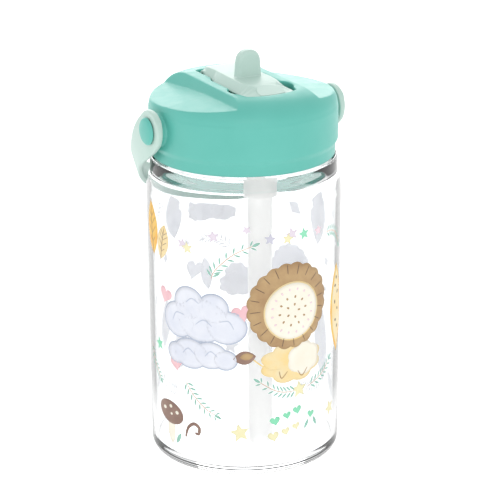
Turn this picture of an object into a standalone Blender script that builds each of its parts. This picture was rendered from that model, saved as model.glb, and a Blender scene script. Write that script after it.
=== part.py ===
"""A kids' water bottle with a screw lid, a flip cover over a straw mouthpiece and a swinging strap handle.

The origin is the centre of the flat base, +Z is up, -Y is the front, where the flip cover's thumb pad is.
Sizes are in millimetres, and MM turns them into Blender's metres.
"""

import math

import bmesh
import bpy
from mathutils import Vector

MM = 0.001
GAP = 0.3            # space left between pieces that touch
ROUND = 64           # facets round the bottle
SMALL_ROUND = 28     # facets round the small turned pieces

# Body
BODY_R = 37.0
FOOT_R = 36.1
FOOT_FILLET = 4.7
WALL = 2.0
FLOOR = 3.2
WALL_TOP = 105.0     # where the shoulder starts
COLLAR_R = 35.4
COLLAR_FOOT = 112.0
COLLAR_TOP = 118.0
NECK_R = 29.5
NECK_BORE = 27.6
RIM = 128.8          # top of the neck

# Screw thread
PITCH = 4.0
TURNS = 1.1
THREAD_DEPTH = 1.5
THREAD_FOOT = 121.6  # height at which the neck's thread starts

# Lid
LID_FOOT = 118.5
BAND_R = 34.6
BAND_TOP = 122.5
LID_R = 35.7
SKIRT_TOP = 137.6    # where the skirt rolls over into the top
ROLL_REACH = 12.5    # how far in from the skirt the roll ends, level with the bridge
BRIDGE_TOP = 146.4
CAVITY_R = 33.2
CAVITY_TOP = 138.3
LINER_R = 32.8
LINER_BORE = 31.4
DECK = 131.0         # underside of the liner's deck
DECK_TOP = 133.0

# Side shelves: heights fall outwards from the bridge's foot
SHELF_EDGE_X = 34.1
SHELF_EDGE_Z = 141.2
SHELF_SLOPE = 0.128
SHELF_LEVEL_TO = -5.0  # rearwards of this the shelves also fall towards the rear
SHELF_REAR_FALL = 0.065
BRIDGE_HALF = 14.8
BRIDGE_FOOT = 17.1
BRIDGE_LEVEL_TO = 19.5  # the bridge's rear end slopes down from here
BRIDGE_REAR_FALL = 0.12

# Pocket and flip cover
POCKET_FLOOR = 140.3
POCKET_REAR = 21.8
POCKET_FRONT_R = 24.3
POCKET_NARROW = 9.2
POCKET_WIDE = 10.9
NOTCH_X = 12.9
PIN_Y = 17.0
PIN_Z = 144.6
PIN_R = 0.95
KNUCKLE_R = 2.4
COVER_UNDER = 145.2
COVER_SKIN = 146.7
TAB_FOOT_HALF = 5.2
TAB_HALF = 4.8
TAB_SHOULDER = 153.0  # where the tab's domed end starts
TAB_REAR = -1.3
TAB_FRONT = -5.8
TAB_TOP = 158.8
PAD_R = 5.5
PAD_Y = -21.5

# Drinking line, all on one upright axis
LINE = (0.0, -12.5)
STRAW_R = 4.6
STRAW_BORE = 3.5
STRAW_FOOT = 5.6
STRAW_TOP = 125.7
SOCKET_R = 6.1
SOCKET_FOOT = 107.0
SPOUT_R = 6.2
SPOUT_TOP = 144.4
SEAL_R = 4.0
VENT = (0.0, 14.0)

# Handle
PIVOT_Z = 131.9
EYE_R = 7.9
STRAP_HALF = 5.2     # half the width of the strap's narrow part
STRAP_THICK = 2.3
STRAP_FACE = 37.7    # inner face of the eyes
BOSS_R = 6.0
BOSS_FACE = 37.4
SHANK_R = 3.0
SHANK_END = 33.5
RIVET_R = 5.2
RIVET_FACE = 42.1
HANG = math.radians(38.5)   # how far below level the handle hangs behind the bottle


def clear_scene():
    for old in list(bpy.data.objects):
        bpy.data.objects.remove(old, do_unlink=True)


def make_material(name, colour, roughness, metallic=0.0, transmission=0.0):
    material = bpy.data.materials.new(name)
    material.use_nodes = True
    shader = material.node_tree.nodes["Principled BSDF"]
    shader.inputs["Base Color"].default_value = (*colour, 1.0)
    shader.inputs["Roughness"].default_value = roughness
    shader.inputs["Metallic"].default_value = metallic
    shader.inputs["Transmission Weight"].default_value = transmission
    return material


def finish_mesh(name, shape, material=None):
    """Turn a bmesh with coordinates in millimetres into a smooth-shaded object in metres."""
    bmesh.ops.recalc_face_normals(shape, faces=shape.faces)
    bmesh.ops.scale(shape, vec=(MM, MM, MM), verts=shape.verts)
    mesh = bpy.data.meshes.new(name)
    shape.to_mesh(mesh)
    shape.free()
    mesh.shade_smooth()
    mesh.set_sharp_from_angle(angle=math.radians(35))
    piece = bpy.data.objects.new(name, mesh)
    bpy.context.scene.collection.objects.link(piece)
    if material:
        mesh.materials.append(material)
    return piece


def use_tool(piece, tool, operation):
    """Cut or join a piece with a hidden tool shape."""
    step = piece.modifiers.new(tool.name, "BOOLEAN")
    step.operation = operation
    step.object = tool
    tool.hide_render = True
    tool.display_type = "WIRE"


def put_origin(piece, point):
    """Move a piece's origin to a point on its joint's axis, leaving its shape where it is."""
    offset = Vector(point) * MM
    for vertex in piece.data.vertices:
        vertex.co -= offset
    piece.location = offset


def arc(centre_r, centre_z, radius, start, end, steps):
    """Points of an arc in an outline, between two angles in degrees."""
    angles = [math.radians(start + (end - start) * i / steps) for i in range(steps + 1)]
    return [(centre_r + radius * math.cos(a), centre_z + radius * math.sin(a)) for a in angles]


def lathe(name, outline, material=None, facets=ROUND, axis=(0.0, 0.0)):
    """Turn an outline of (radius, height) points about an upright axis.

    The outline is either a closed loop away from the axis, or starts and ends on it.
    """
    shape = bmesh.new()
    rings = []
    for radius, height in outline:
        count = facets if radius > 0 else 1
        turn = [2 * math.pi * i / count for i in range(count)]
        rings.append([
            shape.verts.new((axis[0] + radius * math.cos(a), axis[1] + radius * math.sin(a), height))
            for a in turn
        ])
    pairs = list(zip(rings, rings[1:]))
    if len(rings[0]) > 1:
        pairs.append((rings[-1], rings[0]))
    for low, high in pairs:
        for i in range(facets):
            corners = [low[i % len(low)], low[(i + 1) % len(low)], high[(i + 1) % len(high)], high[i % len(high)]]
            shape.faces.new(list(dict.fromkeys(corners)))
    return finish_mesh(name, shape, material)


def loft(name, sections, material=None):
    """Skin a row of sections, each a loop with the same number of points, and cap both ends."""
    shape = bmesh.new()
    loops = [[shape.verts.new(point) for point in section] for section in sections]
    count = len(loops[0])
    for near, far in zip(loops, loops[1:]):
        for i in range(count):
            j = (i + 1) % count
            shape.faces.new((near[i], near[j], far[j], far[i]))
    shape.faces.new(loops[0])
    shape.faces.new(loops[-1])
    return finish_mesh(name, shape, material)


def rod(name, start, end, radius, material=None, facets=SMALL_ROUND):
    """A straight round bar between two points."""
    start, end = Vector(start), Vector(end)
    along = (end - start).normalized()
    side = along.orthogonal().normalized()
    up = along.cross(side)
    turn = [2 * math.pi * (i + 0.5) / facets for i in range(facets)]
    ring = [side * (radius * math.cos(a)) + up * (radius * math.sin(a)) for a in turn]
    return loft(name, [[start + p for p in ring], [end + p for p in ring]], material)


def thread_ridge(name, root, depth, foot):
    """A helical ridge for a right-hand thread, sunk a little into the wall at its root.

    A positive depth stands outwards from the wall, a negative one inwards.
    """
    sink = math.copysign(0.4, depth)
    steps = round(44 * TURNS)
    fade = 5
    sections = []
    for i in range(steps + 1):
        share = min(1.0, (min(i, steps - i) + 0.3) / fade)
        angle = 2 * math.pi * TURNS * i / steps
        height = foot + PITCH * TURNS * i / steps
        crest = root + depth * share
        corners = [(root - sink, -0.95), (crest, -0.45), (crest, 0.45), (root - sink, 0.95)]
        sections.append([(r * math.cos(angle), r * math.sin(angle), height + z) for r, z in corners])
    return loft(name, sections)


def body_outline():
    inner_foot = FOOT_R - WALL
    outer = [(0, 0)] + arc(FOOT_R - FOOT_FILLET, FOOT_FILLET, FOOT_FILLET, -90, 0, 6)
    outer += [(BODY_R - 0.4, 55), (BODY_R, WALL_TOP), (36.8, 107.3), (36.3, 109.4), (35.75, 111.2)]
    outer += [(COLLAR_R, COLLAR_FOOT), (COLLAR_R, COLLAR_TOP - 0.6), (COLLAR_R - 0.6, COLLAR_TOP)]
    outer += [(NECK_R + 0.6, COLLAR_TOP), (NECK_R, COLLAR_TOP + 0.6), (NECK_R, RIM - 0.5), (NECK_R - 0.5, RIM)]
    inner = [(NECK_BORE + 0.4, RIM), (NECK_BORE, RIM - 0.4), (NECK_BORE, COLLAR_TOP - 0.5)]
    inner += [(28.4, 115.6), (30.6, 113.4), (33.4, 110.6), (34.6, 107.6), (BODY_R - WALL, 103.5)]
    inner += [(BODY_R - 0.4 - WALL, 55)]
    inner += arc(inner_foot - 3.5, FLOOR + 3.5, 3.5, 0, -90, 4) + [(0, FLOOR)]
    return outer + inner


def make_body(material):
    body = lathe("bottle_body", body_outline(), material)
    use_tool(body, thread_ridge("neck_thread", NECK_R, THREAD_DEPTH, THREAD_FOOT), "UNION")
    return body


def lid_outline():
    """The shell's outside before the shelves and pocket are cut, and the hollow under it."""
    outer = [(BAND_R, LID_FOOT), (BAND_R, BAND_TOP), (LID_R, BAND_TOP + 2.0), (LID_R, SKIRT_TOP - 0.5)]
    for degrees in (3, 9, 18, 28, 39, 51, 64, 77, 90):
        a = math.radians(degrees)
        outer.append((LID_R - 0.25 - ROLL_REACH * (1 - math.cos(a)), SKIRT_TOP + (BRIDGE_TOP - SKIRT_TOP) * math.sin(a)))
    hollow = [(0, CAVITY_TOP), (CAVITY_R - 3.0, CAVITY_TOP), (CAVITY_R, CAVITY_TOP - 3.0), (CAVITY_R, LID_FOOT)]
    return [(0, BRIDGE_TOP)] + outer[::-1] + hollow[::-1]


def shelf_height(x, y=SHELF_LEVEL_TO):
    return SHELF_EDGE_Z + SHELF_SLOPE * (SHELF_EDGE_X - x) - SHELF_REAR_FALL * max(0.0, y - SHELF_LEVEL_TO)


def shelf_tool(name, side):
    """The space above one side shelf; its inner wall spreads a little towards the rear."""
    above, beyond = 150.0, 45.0
    lean = (BRIDGE_FOOT - BRIDGE_HALF) / (BRIDGE_TOP - shelf_height(BRIDGE_FOOT))
    sections = []
    for y, flare in ((-45, 0.0), (5, 0.0), (15, 0.3), (25, 0.9), (45, 2.6)):
        foot = BRIDGE_FOOT + flare
        top = BRIDGE_HALF - lean * (above - BRIDGE_TOP)
        outline = [(foot, shelf_height(foot, y)), (beyond, shelf_height(beyond, y)), (beyond, above), (top, above)]
        sections.append([(side * x, y, z) for x, z in outline])
    return loft(name, sections)


def bridge_rear_tool():
    """The space over the bridge's rear end, which slopes down to the lid's rim."""
    sections = []
    for y in (BRIDGE_LEVEL_TO, 45.0):
        low = BRIDGE_TOP - BRIDGE_REAR_FALL * (y - BRIDGE_LEVEL_TO)
        sections.append([(-40, y, low), (40, y, low), (40, y, 152), (-40, y, 152)])
    return loft("bridge_rear_space", sections)


def pocket_outline():
    """Plan of the pocket: the right side from the rear to the front, then mirrored."""
    narrow, wide, notch, front_r = POCKET_NARROW, POCKET_WIDE, NOTCH_X, POCKET_FRONT_R
    half = [(narrow - 1.5, POCKET_REAR), (narrow, POCKET_REAR - 1.5), (narrow, 9.0), (wide, 4.5)]
    half += [(wide, -9.0), (notch - 0.5, -10.6), (notch, -12.6), (notch, -14.6), (notch - 0.5, -16.6)]
    half += [(wide + 0.4, -18.2)]
    reach = math.asin((wide - 0.6) / front_r)
    for i in range(5):
        a = reach * (1 - i / 5)
        half.append((front_r * math.sin(a), -front_r * math.cos(a)))
    return half + [(0.0, -front_r)] + [(-x, y) for x, y in reversed(half)]


def make_lid_shell(material):
    shell = lathe("lid_shell", lid_outline(), material)
    use_tool(shell, shelf_tool("shelf_space_left", -1), "DIFFERENCE")
    use_tool(shell, shelf_tool("shelf_space_right", 1), "DIFFERENCE")
    use_tool(shell, bridge_rear_tool(), "DIFFERENCE")
    pocket = [[(x, y, z) for x, y in pocket_outline()] for z in (POCKET_FLOOR, BRIDGE_TOP + 4)]
    use_tool(shell, loft("pocket_space", pocket), "DIFFERENCE")
    x, y = LINE
    use_tool(shell, rod("spout_passage", (x, y, 130), (x, y, 145), SPOUT_R + 0.4), "DIFFERENCE")
    use_tool(shell, rod("pin_bore", (-12, PIN_Y, PIN_Z), (12, PIN_Y, PIN_Z), PIN_R + GAP, facets=20), "DIFFERENCE")
    for side, word in ((-1, "left"), (1, "right")):
        boss = rod("boss_" + word, (side * 34, 0, PIVOT_Z), (side * BOSS_FACE, 0, PIVOT_Z), BOSS_R)
        use_tool(shell, boss, "UNION")
        bore = rod("boss_bore_" + word, (side * 31, 0, PIVOT_Z), (side * 39, 0, PIVOT_Z), SHANK_R + GAP)
        use_tool(shell, bore, "DIFFERENCE")
    return shell


def make_liner(material):
    outline = [(0, DECK), (LINER_BORE, DECK), (LINER_BORE, LID_FOOT + 0.6), (LINER_R, LID_FOOT + 0.6)]
    outline += [(LINER_R, DECK_TOP - 0.8), (LINER_R - 0.8, DECK_TOP), (0, DECK_TOP)]
    liner = lathe("lid_liner", outline, material)
    ridge = thread_ridge("liner_thread", LINER_BORE, -THREAD_DEPTH, THREAD_FOOT - PITCH / 2)
    use_tool(liner, ridge, "UNION")
    for name, (x, y), radius in (("spout_seat", LINE, SPOUT_R + 0.4), ("vent_seat", VENT, 1.6)):
        use_tool(liner, rod(name, (x, y, DECK - 2), (x, y, DECK_TOP + 2), radius), "DIFFERENCE")
    return liner


def make_gasket(material):
    low, high = RIM + GAP, DECK - GAP
    outline = [(27.8, low), (31.0, low), (31.0, high), (27.8, high)]
    return lathe("lid_gasket", outline, material)


def make_drinking_line(socket_material, straw_material, spout_material):
    socket_top = DECK - GAP
    seat = STRAW_R + GAP
    outline = [(SOCKET_R, SOCKET_FOOT), (SOCKET_R, 128.9), (8.6, 128.9), (8.6, socket_top), (3.2, socket_top)]
    outline += [(3.2, STRAW_TOP + GAP), (seat, STRAW_TOP + GAP), (seat, SOCKET_FOOT)]
    lathe("straw_socket", outline, socket_material, SMALL_ROUND, LINE)
    outline = [(STRAW_R, STRAW_FOOT), (STRAW_R, STRAW_TOP), (STRAW_BORE, STRAW_TOP), (STRAW_BORE, STRAW_FOOT)]
    lathe("straw", outline, straw_material, SMALL_ROUND, LINE)
    flange = DECK_TOP + GAP
    outline = [(2.4, DECK), (SPOUT_R, DECK), (SPOUT_R, flange), (9.0, flange), (9.0, flange + 1.6)]
    outline += [(SPOUT_R, flange + 1.6), (SPOUT_R, 141.0), (5.5, 143.4), (4.8, SPOUT_TOP), (2.4, SPOUT_TOP)]
    lathe("drinking_spout", outline, spout_material, SMALL_ROUND, LINE)


def make_vent(material):
    low, high = DECK - GAP, DECK_TOP + GAP
    outline = [(0, low - 0.9), (3.0, low - 0.8), (4.0, low - 0.4), (4.0, low), (1.3, low), (1.3, high)]
    outline += [(2.1, high), (1.6, high + 1.2), (0, high + 1.5)]
    lathe("vent_valve", outline, material, 20, VENT)


def cover_sections():
    """Sections of the cover from the rear to the front: half widths and the height of its top."""
    stations = (
        (19.5, 7.0, 5.2, 147.3), (18.7, 8.0, 6.0, 147.9), (16.5, 8.6, 6.2, 148.2), (9.0, 8.7, 6.4, 148.5),
        (4.0, 10.2, 6.8, 148.6), (-8.0, 10.3, 7.2, 148.6), (-13.0, 10.3, 7.0, 148.5), (-15.3, 10.3, 5.8, 148.3),
        (-17.0, 10.3, 4.2, 147.9), (-19.0, 10.3, 3.0, 147.3), (-25.0, 10.3, 2.4, 145.8),
    )
    for y, low_half, top_half, top in stations:
        half = [(low_half, COVER_UNDER - 0.2), (low_half, COVER_UNDER + 0.2), (top_half, top)]
        outline = half + [(-x, z) for x, z in reversed(half)]
        yield [(x, y, z) for x, z in outline]


def tab_section(y, shrink):
    """The tab's outline: sides that lean in a little under a squarish dome."""
    half, rise, power = TAB_HALF - shrink, TAB_TOP - shrink - TAB_SHOULDER, 2 / 2.4
    quarter = [math.pi / 2 * i / 7 for i in range(8)]
    right = [(half * math.cos(a) ** power, TAB_SHOULDER + rise * math.sin(a) ** power) for a in quarter[:-1]]
    outline = [(TAB_FOOT_HALF - shrink, 147.0)] + right + [(0, TAB_SHOULDER + rise)]
    outline += [(-x, z) for x, z in right[::-1]] + [(shrink - TAB_FOOT_HALF, 147.0)]
    return [(x, y, z) for x, z in outline]


def make_cover(material):
    """The flip cover: plate, hinge knuckles, upright finger tab and thumb pad, hollow underneath."""
    cover = loft("flip_cover", list(cover_sections()), material)
    tab_stations = ((TAB_REAR, 1.0), (TAB_REAR - 0.3, 0.35), (TAB_REAR - 1.0, 0.0),
                    (TAB_FRONT + 1.0, 0.0), (TAB_FRONT + 0.3, 0.35), (TAB_FRONT, 1.0))
    use_tool(cover, loft("tab_tool", [tab_section(y, shrink) for y, shrink in tab_stations]), "UNION")
    slope = Vector((0, -1.9, 7.0)).normalized()
    seat = Vector((0, PAD_Y, 146.45))
    use_tool(cover, rod("pad_tool", seat - slope, seat + slope * 0.35, PAD_R), "UNION")
    knuckle = rod("knuckle_tool", (-8.2, PIN_Y, PIN_Z), (8.2, PIN_Y, PIN_Z), KNUCKLE_R, facets=20)
    use_tool(cover, knuckle, "UNION")
    plan_r = POCKET_FRONT_R - 0.4
    use_tool(cover, rod("plan_tool", (0, 0, 135), (0, 0, 170), plan_r, facets=ROUND), "INTERSECT")
    hollow = [[(x, y, z) for x, y in ((-5.6, -17), (5.6, -17), (5.6, 13), (-5.6, 13))] for z in (140, COVER_SKIN)]
    use_tool(cover, loft("cover_hollow", hollow), "DIFFERENCE")
    slot = [[(x, y, z) for x, y in ((-3, 12), (3, 12), (3, 24), (-3, 24))] for z in (140, COVER_UNDER + 0.4)]
    use_tool(cover, loft("knuckle_slot", slot), "DIFFERENCE")
    bore = rod("knuckle_bore", (-12, PIN_Y, PIN_Z), (12, PIN_Y, PIN_Z), PIN_R + GAP, facets=20)
    use_tool(cover, bore, "DIFFERENCE")
    return cover


def make_cover_fittings(steel, silicone):
    rod("cover_hinge_pin", (-11.7, PIN_Y, PIN_Z), (11.7, PIN_Y, PIN_Z), PIN_R, steel, facets=20)
    high = COVER_SKIN - GAP
    outline = [(0, SPOUT_TOP + GAP), (2.0, SPOUT_TOP + GAP), (2.6, SPOUT_TOP + GAP + 0.5)]
    outline += [(SEAL_R, SPOUT_TOP + GAP + 0.5), (SEAL_R, high), (0, high)]
    lathe("cover_seal", outline, silicone, SMALL_ROUND, LINE)


def smooth_path(points, steps):
    """Catmull-Rom curve through a list of (across, along) points."""
    path = []
    padded = [points[0]] + list(points) + [points[-1]]
    for a, b, c, d in zip(padded, padded[1:], padded[2:], padded[3:]):
        for i in range(steps):
            t = i / steps
            path.append(tuple(
                0.5 * (2 * q + (r - p) * t + (2 * p - 5 * q + 4 * r - s) * t ** 2 + (3 * q - p - 3 * r + s) * t ** 3)
                for p, q, r, s in zip(a, b, c, d)
            ))
    return path + [points[-1]]


def strap_path():
    """The strap's middle line as (across, along): from one eye, round the grip, to the other eye."""
    middle = STRAP_FACE + STRAP_THICK / 2
    half = ((middle, 3.0), (middle, 7.5), (38.2, 13.5), (36.6, 20.5), (34.0, 28.0), (30.2, 35.7), (24.9, 43.3),
            (17.5, 50.2), (9.0, 54.6))
    mirrored = tuple((-x, along) for x, along in reversed(half))
    return smooth_path(half + ((0.0, 56.0),) + mirrored, 3)


def eye_end(side):
    """Stations of the flat, round eye: (across, along, half width)."""
    middle = side * (STRAP_FACE + STRAP_THICK / 2)
    angles = [math.radians(a) for a in (85, 72, 58, 43, 28, 12)]
    return [(middle, -EYE_R * math.sin(a), EYE_R * math.cos(a)) for a in angles]


def strap_half_width(along):
    """The strap narrows from the width of its eyes to that of the grip."""
    share = min(1.0, max(0.0, (along - 2.0) / 24.0))
    ease = share * share * (3 - 2 * share)
    return EYE_R + (STRAP_HALF - EYE_R) * ease


def make_handle(material):
    stations = eye_end(1) + [(x, u, strap_half_width(u)) for x, u in strap_path()] + eye_end(-1)[::-1]
    out = Vector((0, math.cos(HANG), -math.sin(HANG)))
    wide = Vector((0, math.sin(HANG), math.cos(HANG)))
    across = Vector((1, 0, 0))
    pivot = Vector((0, 0, PIVOT_Z))
    sections = []
    for i, (x, u, half) in enumerate(stations):
        before, after = stations[max(i - 1, 0)], stations[min(i + 1, len(stations) - 1)]
        along = (across * (after[0] - before[0]) + out * (after[1] - before[1])).normalized()
        normal = wide.cross(along)
        centre = pivot + across * x + out * u
        t, edge = STRAP_THICK / 2, min(0.7, half * 0.5)
        corners = ((-half + edge, -t), (half - edge, -t), (half, -t + edge), (half, t - edge),
                   (half - edge, t), (-half + edge, t), (-half, t - edge), (-half, -t + edge))
        sections.append([centre + wide * w + normal * n for w, n in corners])
    handle = loft("carry_handle", sections, material)
    for side, word in ((-1, "left"), (1, "right")):
        hole = rod("eye_bore_" + word, (side * 33, 0, PIVOT_Z), (side * 42, 0, PIVOT_Z), SHANK_R + GAP)
        use_tool(handle, hole, "DIFFERENCE")
    put_origin(handle, pivot)
    return handle


def make_rivet(name, side, material):
    """A domed rivet: its head covers the handle's eye, and its shank ends in the lid's wall."""
    under = STRAP_FACE + STRAP_THICK + GAP
    outline = [(0, SHANK_END), (SHANK_R, SHANK_END), (SHANK_R, under), (RIVET_R - 0.3, under), (RIVET_R, under + 0.4)]
    outline += [(RIVET_R - 0.6, under + 1.1), (3.5, RIVET_FACE - 0.25), (2.0, RIVET_FACE - 0.05), (0, RIVET_FACE)]
    rivet = lathe(name, outline, material, SMALL_ROUND)
    for vertex in rivet.data.vertices:
        x, y, z = vertex.co
        vertex.co = (side * z, y * side, -x + PIVOT_Z * MM) if side > 0 else (-z, y, x + PIVOT_Z * MM)
    return rivet


def main():
    clear_scene()
    mint = make_material("mint_plastic", (0.19, 0.60, 0.51), 0.42)
    pale = make_material("pale_mint_plastic", (0.68, 0.80, 0.75), 0.42)
    white = make_material("white_plastic", (0.80, 0.82, 0.82), 0.45)
    clear = make_material("clear_plastic", (0.95, 0.98, 1.0), 0.05, transmission=1.0)
    frosted = make_material("frosted_plastic", (0.88, 0.90, 0.90), 0.3, transmission=0.6)
    silicone = make_material("silicone", (0.86, 0.88, 0.88), 0.5, transmission=0.3)
    steel = make_material("steel", (0.72, 0.72, 0.73), 0.25, metallic=1.0)
    make_body(clear)
    make_lid_shell(mint)
    make_liner(white)
    make_gasket(silicone)
    make_drinking_line(frosted, frosted, silicone)
    make_vent(silicone)
    make_cover(pale)
    make_cover_fittings(steel, silicone)
    make_handle(pale)
    make_rivet("handle_rivet_left", -1, mint)
    make_rivet("handle_rivet_right", 1, mint)


main()
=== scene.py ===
"""The looks of a kids' water bottle: clear printed body, mint lid, pale flip cover and strap handle.

Lengths are in millimetres until mesh_piece() turns them into metres. The frame is the CAD model's:
the origin is the centre of the base, +Z is up and -Y is the front of the lid.
"""

import math

import bmesh
import bpy
from mathutils import Matrix, Vector


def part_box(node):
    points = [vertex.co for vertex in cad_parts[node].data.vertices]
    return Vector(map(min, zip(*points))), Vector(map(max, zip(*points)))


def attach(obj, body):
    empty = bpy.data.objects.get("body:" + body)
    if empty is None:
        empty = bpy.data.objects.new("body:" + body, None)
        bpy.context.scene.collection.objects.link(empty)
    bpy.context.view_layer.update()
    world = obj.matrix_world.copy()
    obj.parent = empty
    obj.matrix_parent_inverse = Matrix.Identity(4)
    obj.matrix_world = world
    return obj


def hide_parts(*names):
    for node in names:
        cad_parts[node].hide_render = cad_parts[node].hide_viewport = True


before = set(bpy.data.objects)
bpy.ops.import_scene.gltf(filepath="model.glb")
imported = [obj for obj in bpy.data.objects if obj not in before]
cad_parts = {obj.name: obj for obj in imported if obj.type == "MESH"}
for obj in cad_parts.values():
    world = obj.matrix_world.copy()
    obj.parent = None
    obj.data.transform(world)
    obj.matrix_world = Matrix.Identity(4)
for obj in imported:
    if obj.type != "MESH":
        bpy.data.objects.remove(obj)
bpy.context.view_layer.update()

MM = 0.001


def mm_box(node):
    """A CAD node's lowest and highest corner in millimetres."""
    low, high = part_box(node)
    return low / MM, high / MM


BODY_HIGH = mm_box("bottle_body")[1]
LID_LOW, LID_HIGH = mm_box("lid_shell")
STRAW_LOW, STRAW_HIGH = mm_box("straw")
SOCKET_LOW, SOCKET_HIGH = mm_box("straw_socket")
SPOUT_LOW, SPOUT_HIGH = mm_box("drinking_spout")
PIN_LOW, PIN_HIGH = mm_box("cover_hinge_pin")
RIVET_LOW, RIVET_HIGH = mm_box("handle_rivet_right")

# Body
BODY_R = BODY_HIGH.x
RIM = BODY_HIGH.z
FOOT_R = BODY_R - 0.9
FOOT_FILLET = 4.7
WALL = 2.0
FLOOR = 3.2
WALL_TOP = 105.0
COLLAR_R = 35.4
COLLAR_FOOT = 112.0
COLLAR_TOP = 118.0
NECK_R = 29.5
NECK_BORE = 27.6
PITCH = 4.0
TURNS = 1.1
THREAD_DEPTH = 1.5
THREAD_FOOT = 121.6
RIDGE_HALF = 0.85     # half the ridge's height at its root
RIDGE_FLANK = 0.4     # height of each flank
RIDGE_FADE = 0.5      # the ridge rises out of the neck over this angle, in radians

# Lid
LID_FOOT = LID_LOW.z
BRIDGE_TOP = 146.4
LID_R = LID_HIGH.y
BAND_R = LID_R - 1.1
BAND_TOP = LID_FOOT + 4.0
BAND_SLOPE = 2.0      # height of the slope from the band out to the skirt
SKIRT_TOP = 137.6
PARTING_STEP = 0.25   # the rolled top starts this far inside the skirt's face
PARTING_DROP = 0.5    # the skirt's straight side ends this far below the roll
ROLL_REACH = 12.5
CAVITY_R = 33.2
CAVITY_TOP = 138.3
CAVITY_BEVEL = 3.0
SHELF_EDGE_X = 34.1
SHELF_EDGE_Z = 141.2
SHELF_SLOPE = 0.128
SHELF_LEVEL_TO = -5.0
SHELF_REAR_FALL = 0.065
BRIDGE_HALF = 14.8
BRIDGE_FOOT = 17.1
BRIDGE_LEVEL_TO = 19.5
BRIDGE_REAR_FALL = 0.12

# Pocket and cover
POCKET_FLOOR = 140.3
POCKET_REAR = 21.8
POCKET_FRONT_R = 24.3
POCKET_NARROW = 9.2
POCKET_WIDE = 10.9
NOTCH_X = 12.9
PIN_Y = (PIN_LOW.y + PIN_HIGH.y) / 2
PIN_Z = (PIN_LOW.z + PIN_HIGH.z) / 2
PIN_R = (PIN_HIGH.z - PIN_LOW.z) / 2
PIN_BORE = PIN_R + 0.3
KNUCKLE_R = 2.4
KNUCKLE_HALF = 8.2
COVER_UNDER = 145.2
COVER_SKIN = 146.7
TAB_FOOT_HALF = 5.2
TAB_HALF = 4.8
TAB_SHOULDER = 153.0
TAB_REAR = -1.3
TAB_FRONT = -5.8
TAB_TOP = 158.8
HOLLOW_HALF = 5.6     # the recess under the cover, over the mouthpiece
HOLLOW_FRONT = -17.0
HOLLOW_REAR = 13.0
PAD_R = 5.5
PAD_Y = -21.5
PAD_Z = 146.45

# Drinking line
LINE = (0.0, (STRAW_LOW.y + STRAW_HIGH.y) / 2)
STRAW_R = 4.6
STRAW_BORE = 3.5
SOCKET_R = 6.1
SOCKET_SEAT = 4.9     # the straw's top sits in a bore of this radius
SOCKET_SEAT_TOP = 126.0
SOCKET_BORE = 3.2
SOCKET_HEAD_R = 8.6
SOCKET_HEAD_FOOT = 128.9
SPOUT_R = 6.2
SPOUT_BORE = 2.4
SPOUT_CLEARANCE = 0.4
FLANGE_R = 9.0
FLANGE_THICK = 1.6

# Handle
PIVOT_Z = (RIVET_LOW.z + RIVET_HIGH.z) / 2
EYE_R = 7.9
STRAP_HALF = 5.2
STRAP_THICK = 2.3
STRAP_FACE = 37.7
BOSS_FACE = 37.4
BOSS_R = 6.0
SHANK_R = 3.0
SHANK_BORE = 3.3
SHANK_END = 33.5
RIVET_R = RIVET_HIGH.y
RIVET_FACE = RIVET_HIGH.x
HANG = math.radians(38.5)

# The printed pictures: the middle of the main pictures faces this way round the body
FACING = math.radians(-118.5)
PRINT_LIFT = 0.02    # the first ink's back stands this far off the wall
INK_THICK = 0.025
INK_PITCH = 0.03     # from one layer of ink to the next
INK_GRID = 1.8       # the ink's mesh follows the wall with faces about this long


# ---------------------------------------------------------------- mesh tools

def mesh_piece(name, shape, materials=()):
    """Turn a bmesh in millimetres into a smooth-shaded object in metres."""
    bmesh.ops.scale(shape, vec=(MM, MM, MM), verts=shape.verts)
    mesh = bpy.data.meshes.new(name)
    shape.to_mesh(mesh)
    shape.free()
    for material in materials:
        mesh.materials.append(material)
    mesh.shade_smooth()
    piece = bpy.data.objects.new(name, mesh)
    bpy.context.scene.collection.objects.link(piece)
    return piece


def arc(centre_r, centre_z, radius, start, end, steps):
    angles = [math.radians(start + (end - start) * i / steps) for i in range(steps + 1)]
    return [(centre_r + radius * math.cos(a), centre_z + radius * math.sin(a)) for a in angles]


def blend_curve(points, steps):
    """Catmull-Rom curve through points of any dimension."""
    path = []
    padded = [points[0]] + list(points) + [points[-1]]
    for a, b, c, d in zip(padded, padded[1:], padded[2:], padded[3:]):
        for i in range(steps):
            t = i / steps
            path.append(tuple(
                0.5 * (2 * q + (r - p) * t + (2 * p - 5 * q + 4 * r - s) * t ** 2
                       + (3 * q - p - 3 * r + s) * t ** 3)
                for p, q, r, s in zip(a, b, c, d)
            ))
    return path + [tuple(points[-1])]


def turned(outline, facets, axis=(0.0, 0.0), radius_at=None):
    """A bmesh of an outline of (radius, height) points turned about an upright axis.

    The outline is a closed loop, or starts and ends on the axis. radius_at(radius, height, angle)
    may change a point's radius, as a screw thread does.
    """
    shape = bmesh.new()
    rings = []
    for radius, height in outline:
        count = facets if radius > 0 else 1
        ring = []
        for i in range(count):
            a = 2 * math.pi * i / facets
            r = radius_at(radius, height, a) if radius_at and radius > 0 else radius
            ring.append(shape.verts.new((axis[0] + r * math.cos(a), axis[1] + r * math.sin(a), height)))
        rings.append(ring)
    pairs = list(zip(rings, rings[1:]))
    if len(rings[0]) > 1:
        pairs.append((rings[-1], rings[0]))
    for low, high in pairs:
        for i in range(facets):
            j = i + 1
            corners = [low[i % len(low)], low[j % len(low)], high[j % len(high)], high[i % len(high)]]
            shape.faces.new(list(dict.fromkeys(corners)))
    bmesh.ops.recalc_face_normals(shape, faces=shape.faces)
    return shape


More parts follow.
